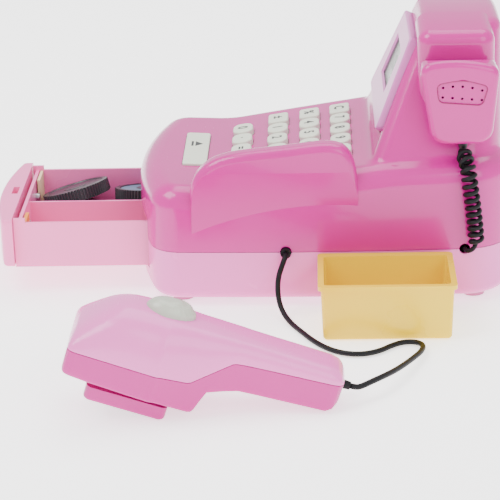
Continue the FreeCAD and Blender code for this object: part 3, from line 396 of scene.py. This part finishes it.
def scanner_point(v, u, w):
    """A point in the scanner's own millimetres, moved to the row frame."""
    c, s = math.cos(SCANNER_TILT), math.sin(SCANNER_TILT)
    return Vector((SCANNER_FOOT[0] + v, SCANNER_FOOT[1] + u * c + w * s, -u * s + w * c)) * MM


def linear_value(table, u):
    """Straight reading between the rows of a small table."""
    u = min(max(u, table[0][0]), table[-1][0])
    for (a, x), (b, y) in zip(table, table[1:]):
        if u <= b:
            return x + (y - x) * (u - a) / (b - a)
    return table[-1][1]


def scanner_stations():
    """Places along the scanner, closer together where the form turns."""
    rows = HALF_WIDTH + CROWN + PARTING + BELLY
    stops = sorted({u for u, _ in rows if NOSE <= u <= TAIL})
    made = []
    for a, b in zip(stops, stops[1:]):
        count = max(1, round((b - a) / STATION_STEP))
        made += [a + (b - a) * k / count for k in range(count)]
    return made + [TAIL]


def half_section(wide, start, end, side_fullness, end_fullness, steps):
    """Points of a rounded section from the parting line to the middle, as (v, w)."""
    made = []
    for k in range(steps + 1):
        turn = math.pi / 2 * k / steps
        made.append((wide * math.cos(turn) ** (2 / side_fullness),
                     start + (end - start) * math.sin(turn) ** (2 / end_fullness)))
    return made


def scanner_half(name, above, material):
    """Upper or lower shell of the scanner as one skin with closed ends."""
    gap = SHELL_GAP if above else -SHELL_GAP
    rows = []
    for u in scanner_stations():
        wide = linear_value(HALF_WIDTH, u)
        start = linear_value(PARTING, u) + gap
        if above:
            half = half_section(wide, start, linear_value(CROWN, u), linear_value(SIDE_FULLNESS, u),
                                linear_value(TOP_FULLNESS, u), CROWN_STEPS)
        else:
            half = half_section(wide, start, linear_value(BELLY, u), BELLY_SIDE_FULLNESS,
                                BELLY_LOW_FULLNESS, BELLY_STEPS)
        ring = [(wide - SHELL_WALL, start), (wide - SHELL_ROUND, start - gap * 0.4)] + half
        ring += [(-v, w) for v, w in reversed(ring[:-1])]
        rows.append([scanner_point(v, u, w) for v, w in ring])
    count = len(rows[0])
    faces = []
    for i in range(len(rows) - 1):
        for a in range(i * count, i * count + count - 1):
            faces.append((a, a + 1, a + count + 1, a + count))
    faces.append(tuple(range(count))[::-1])
    faces.append(tuple((len(rows) - 1) * count + k for k in range(count)))
    if not above:
        faces = [face[::-1] for face in faces]
    piece = add_mesh(name, [p for row in rows for p in row], faces)
    soft_edges(piece, degrees=38)
    paint(piece, material)
    return piece


def make_scanner_look():
    top = scanner_half("scanner_top_skin", True, PALE)
    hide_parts("scanner_top_shell")
    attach(top, "scanner")
    low = scanner_half("scanner_bottom_skin", False, PINK)
    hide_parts("scanner_bottom_shell")
    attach(low, "scanner")


DOME_HALF_WIDTH, DOME_HALF_LENGTH, DOME_MIDDLE = 10.2, 14.9, -10
DOME_FOOT, DOME_RISE = 53.0, 11.0
DOME_REACH_POWER, DOME_RISE_POWER = 0.62, 0.9
DOME_RINGS, DOME_AROUND = 18, 96
SCALLOPS_START = 0.35
RIDGE_DEPTH, RIDGE_WAVES = 0.45, 12
STEP_DEPTH, STEP_WAVES = 0.5, 22.0


def make_trigger_look():
    """Clear oval dome button with scalloped steps on its rear half."""
    points, faces = [], []
    for i in range(DOME_RINGS + 1):
        t = i / DOME_RINGS
        reach = math.cos(t * math.pi / 2) ** DOME_REACH_POWER
        height = DOME_FOOT + DOME_RISE * math.sin(t * math.pi / 2) ** DOME_RISE_POWER
        for k in range(DOME_AROUND):
            turn = 2 * math.pi * k / DOME_AROUND
            rear = min(1.0, max(0.0, math.cos(turn) + SCALLOPS_START))
            ridge = RIDGE_DEPTH * rear * abs(math.sin(turn * RIDGE_WAVES)) * math.sin(math.pi * t) ** 0.5
            step = STEP_DEPTH * rear * math.sin(t * STEP_WAVES)
            points.append(scanner_point((DOME_HALF_WIDTH * reach + ridge) * math.sin(turn),
                                        DOME_MIDDLE + (DOME_HALF_LENGTH * reach + ridge) * math.cos(turn),
                                        height + step))
    for i in range(DOME_RINGS):
        faces += band(i * DOME_AROUND, DOME_AROUND)
    dome = add_mesh("scanner_trigger_dome", points, faces)
    soft_edges(dome, degrees=60)
    paint(dome, CLEAR)
    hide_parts("scanner_trigger")
    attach(dome, "trigger")


# ---- printed marks ------------------------------------------------------------------------
DECK_ANGLE = math.atan(0.150)
FRONT_ANGLE = -math.atan(3.1 / 57.0)
DISPLAY_ANGLE = math.pi / 2 - math.atan(0.417)
KEY_MARKS = {"key_1": "0.=+", "key_2": "\u00b1123-", "key_3": "%456\u00d7", "key_4": "C789\u00f7"}
LETTER_SIZE, LETTER_BOLDNESS = 9.0 * MM, 0.22 * MM
LETTER_HALF_HEIGHT, LETTER_LIFT = 0.06 * MM, 0.03 * MM
FLAT_WITHIN = 0.05 * MM
ARROW_SHIFT = -8.0 * MM
ARROW_OVER_BAR = [[(-4.6, -1.2), (4.6, -1.2), (0, 3.8)],
                  [(-4.6, -3.8), (4.6, -3.8), (4.6, -2.4), (-4.6, -2.4)]]
ARROW_HEIGHT, FIGURE_HEIGHT = 0.09, 0.1


def leaning_face(angle):
    """Upward way and normal of a face that rises towards the rear at this angle."""
    return Vector((0, math.cos(angle), math.sin(angle))), Vector((0, -math.sin(angle), math.cos(angle)))


def top_of(node, normal):
    """Middle of the face of a CAD node that looks along the normal."""
    corners = [node.matrix_world @ v.co for v in node.data.vertices]
    reach = max(c.dot(normal) for c in corners)
    face = [c for c in corners if c.dot(normal) > reach - FLAT_WITHIN]
    low = Vector([min(c[i] for c in face) for i in range(3)])
    high = Vector([max(c[i] for c in face) for i in range(3)])
    return (low + high) / 2


def printed(name, shapes, centre, upward, normal, height):
    """Flat raised print: each shape is a ring of (x, y) millimetres; upward is the way its top points."""
    points, faces = [], []
    for ring in shapes:
        base = len(points)
        count = len(ring)
        for lift in (0.0, height):
            points += [centre + (Vector((x, 0, 0)) + upward * y + normal * lift) * MM for x, y in ring]
        faces.append(tuple(range(base + count, base + 2 * count)))
        faces.append(tuple(range(base + count - 1, base - 1, -1)))
        faces += band(base, count)
    piece = add_mesh(name, points, faces, False)
    paint(piece, INK)
    return piece


def letter(name, sign, centre, upward, normal):
    """Printed figure or operator sign, nearly a tenth of a millimetre proud."""
    text = bpy.data.curves.new(name, "FONT")
    text.body = sign
    text.size = LETTER_SIZE
    text.align_x = "CENTER"
    text.align_y = "CENTER"
    text.extrude = LETTER_HALF_HEIGHT
    text.offset = LETTER_BOLDNESS
    text.resolution_u = 6
    holder = bpy.data.objects.new(name + "_line", text)
    bpy.context.scene.collection.objects.link(holder)
    bpy.context.view_layer.update()
    mesh = bpy.data.meshes.new_from_object(holder)
    bpy.data.objects.remove(holder)
    across, along = ([v.co[i] for v in mesh.vertices] for i in (0, 1))
    middle_x, middle_y = (min(across) + max(across)) / 2, (min(along) + max(along)) / 2
    for v in mesh.vertices:
        x, y, z = v.co
        v.co = centre + Vector((x - middle_x, 0, 0)) + upward * (y - middle_y) + normal * (z + LETTER_LIFT)
    mesh.update()
    piece = bpy.data.objects.new(name, mesh)
    bpy.context.scene.collection.objects.link(piece)
    paint(piece, INK)
    return piece


def make_key_marks():
    upward, normal = leaning_face(DECK_ANGLE)
    for row, signs in KEY_MARKS.items():
        for number, sign in enumerate(signs, 1):
            key = f"{row}_{number}"
            mark = letter(key + "_mark", sign, top_of(NODES[key], normal), upward, normal)
            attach(mark, key + "_body")
    upward, normal = leaning_face(FRONT_ANGLE)
    centre = top_of(NODES["open_key"], normal) + Vector((ARROW_SHIFT, 0, 0))
    mark = printed("open_key_mark", ARROW_OVER_BAR, centre, upward, normal, ARROW_HEIGHT)
    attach(mark, "opening_key")


# The grille's outline on the microphone: y and z of each corner, and how far the corner is rounded.
GRILLE_X = 80.48
GRILLE_CORNERS = [(68.0, 142.4, 3.4), (83.8, 145.3, 7.0), (99.1, 140.9, 3.4), (95.5, 128.9, 3.4),
                  (69.2, 131.1, 3.4)]
GROOVE_R = 0.26 * MM
CORNER_STEPS = 8


def make_grille_groove_shade():
    """Thin dark tube round the microphone's grille field: painted shade standing in for the shadow in the
    groove there.
    """
    corners = [Vector((y, z)) for y, z, _ in GRILLE_CORNERS]
    ring = []
    for i, (_, _, rounding) in enumerate(GRILLE_CORNERS):
        before, at, after = corners[i - 1], corners[i], corners[(i + 1) % len(corners)]
        start = at + (before - at).normalized() * rounding
        end = at + (after - at).normalized() * rounding
        for k in range(CORNER_STEPS + 1):
            t = k / CORNER_STEPS
            p = start * (1 - t) ** 2 + at * 2 * t * (1 - t) + end * t ** 2
            ring.append(Vector((GRILLE_X, p.x, p.y)) * MM)
    groove = tube("mic_grille_painted_shade", ring + ring[:1], GROOVE_R, around=8)
    paint(groove, PAINTED_GROOVE_SHADE)
    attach(groove, "microphone")


# A zero's six segments: middle in figure widths and half heights, and half sizes in millimetres.
FLAT, UPRIGHT = (1.8, 0.5), (0.5, 1.7)
ZERO_SEGMENTS = [(0, 1, FLAT), (0.5, 0.5, UPRIGHT), (0.5, -0.5, UPRIGHT), (0, -1, FLAT),
                 (-0.5, -0.5, UPRIGHT), (-0.5, 0.5, UPRIGHT)]
FIGURE_WIDTH, FIGURE_HALF_TALL = 4.6, 4.2
FIGURE_PLACES = (-4.0, 4.0, 12.0)
POINT_PLACE, POINT_HALF = (0, -4.2), (0.6, 0.6)


def rectangle(middle, half):
    (x, y), (a, b) = middle, half
    return [(x - a, y - b), (x + a, y - b), (x + a, y + b), (x - a, y + b)]


def make_display_marks():
    """Three zeros and a point in seven-segment figures behind the clear window."""
    upward, normal = leaning_face(DISPLAY_ANGLE)
    shapes = []
    for place in FIGURE_PLACES:
        for x, y, half in ZERO_SEGMENTS:
            shapes.append(rectangle((place + x * FIGURE_WIDTH, y * FIGURE_HALF_TALL), half))
    shapes.append(rectangle(POINT_PLACE, POINT_HALF))
    mark = printed("lcd_figures", shapes, top_of(NODES["lcd_panel"], normal), upward, normal, FIGURE_HEIGHT)
    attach(mark, "register")


# ---- play money ---------------------------------------------------------------------------
# Each coin: middle of its lower face in millimetres, and its tilt about X and about Y in degrees.
COINS = [((-25, -165.0, 19.2), 0, 0), ((-25, -164.5, 35.4), 15, -11), ((-25, -117.8, 19.2), 0, 0),
         ((-25, -117.4, 34.0), 0, -13)]
BLUE_COIN = COINS[3]
# The coin's turned outline as radius and height, from the middle of its lower face to that of its upper one.
COIN_PROFILE = [(0.4, 0.0), (22.0, 0.0), (22.45, 0.5), (22.45, 7.5), (22.0, 8.0), (19.2, 8.0), (18.8, 7.4),
                (8.0, 7.4), (7.6, 7.8), (0.4, 7.8)]
COIN_TEETH = 64
POINTS_PER_TOOTH = 4
COIN_EDGE_R = 22.2
TOOTH_DEPTH = 1.0
BLUE_RING_R = 18.2
BLUE_RING_WAVES, BLUE_RING_WAVE = 36, 0.2
BLUE_RING_HOLE_SHARE = 0.46
BLUE_RING_LOW, BLUE_RING_HIGH = 7.42, 7.5


def coin_point(coin, x, y, z):
    """A point in a coin's own millimetres, tilted about X and then Y, and moved to the coin's place."""
    place, tilt_x, tilt_y = coin
    turn = Matrix.Rotation(math.radians(tilt_y), 3, "Y") @ Matrix.Rotation(math.radians(tilt_x), 3, "X")
    return (turn @ Vector((x, y, z)) + Vector(place)) * MM


def make_coins():
    """Four milled discs as one piece."""
    around = COIN_TEETH * POINTS_PER_TOOTH
    points, faces = [], []
    for coin in COINS:
        base = len(points)
        for radius, height in COIN_PROFILE:
            for k in range(around):
                turn = 2 * math.pi * k / around
                milled = radius > COIN_EDGE_R and k % POINTS_PER_TOOTH < POINTS_PER_TOOTH / 2
                r = radius - TOOTH_DEPTH if milled else radius
                points.append(coin_point(coin, r * math.cos(turn), r * math.sin(turn), height))
        last = base + (len(COIN_PROFILE) - 1) * around
        for start in range(base, last, around):
            faces += band(start, around)
        faces.append(tuple(base + k for k in range(around - 1, -1, -1)))
        faces.append(tuple(range(last, last + around)))
    coins = add_mesh("play_coins_look", points, faces)
    soft_edges(coins, degrees=30)
    paint(coins, COIN)
    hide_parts("play_coins")
    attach(coins, "drawer")


def make_blue_ring():
    """Thin blue ring with a wavy rim on the face of one coin."""
    count = 2 * BLUE_RING_WAVES
    disc = []
    for k in range(count):
        turn = 2 * math.pi * k / count
        disc.append(((BLUE_RING_R + k % 2 * BLUE_RING_WAVE) * math.cos(turn), BLUE_RING_R * math.sin(turn)))
    points, faces = [], []
    for height in (BLUE_RING_LOW, BLUE_RING_HIGH):
        for scale in (1.0, BLUE_RING_HOLE_SHARE):
            points += [coin_point(BLUE_COIN, x * scale, y * scale, height) for x, y in disc]
    low_rim, low_hole, high_rim, high_hole = (count * i for i in range(4))
    sides = ((high_rim, high_hole), (low_hole, low_rim), (low_rim, high_rim), (high_hole, low_hole))
    for a in range(count):
        b = (a + 1) % count
        for near, far in sides:
            faces.append((near + a, near + b, far + b, far + a))
    face = add_mesh("coin_face_ring", points, faces, False)
    paint(face, COIN_BLUE)
    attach(face, "drawer")


# ---- stage --------------------------------------------------------------------------------
FLOOR_HALF = 16.0
FLOOR_DROP = 0.3 * MM
WORLD_STRENGTH = 1.35
# Each lamp: name, place in metres, size in metres and power in watts.
LAMPS = [("key_light", (0.4, -0.9, 1.5), 0.9, 22.0), ("fill_light", (1.6, 0.9, 1.2), 1.2, 14.0),
         ("top_light", (-0.5, 0.2, 1.8), 1.4, 24.0)]
LAMPS_AIM = Vector((0.05, 0, 0.08))


def make_floor():
    corners = rectangle((0, 0), (FLOOR_HALF, FLOOR_HALF))
    floor = add_mesh("floor", [(x, y, -FLOOR_DROP) for x, y in corners], [(0, 1, 2, 3)], False)
    paint(floor, FLOOR)


def make_light():
    """White surroundings and three large soft lamps aimed at the register."""
    world = bpy.data.worlds.new("studio")
    bpy.context.scene.world = world
    world.use_nodes = True
    world.node_tree.nodes["Background"].inputs["Color"].default_value = (1, 1, 1, 1)
    world.node_tree.nodes["Background"].inputs["Strength"].default_value = WORLD_STRENGTH
    for name, place, size, power in LAMPS:
        data = bpy.data.lights.new(name, "AREA")
        data.energy = power
        data.size = size
        lamp = bpy.data.objects.new(name, data)
        lamp.location = place
        lamp.rotation_mode = "QUATERNION"
        lamp.rotation_quaternion = (Vector(place) - LAMPS_AIM).to_track_quat("Z", "Y")
        bpy.context.scene.collection.objects.link(lamp)


make_camera()
tint_by_side(CARD, NOTE_ORANGE)
paint_cad()
make_scanner_cord()
make_curly_cord()
make_scanner_look()
make_trigger_look()
make_key_marks()
make_grille_groove_shade()
make_display_marks()
make_coins()
make_blue_ring()
make_floor()
make_light()
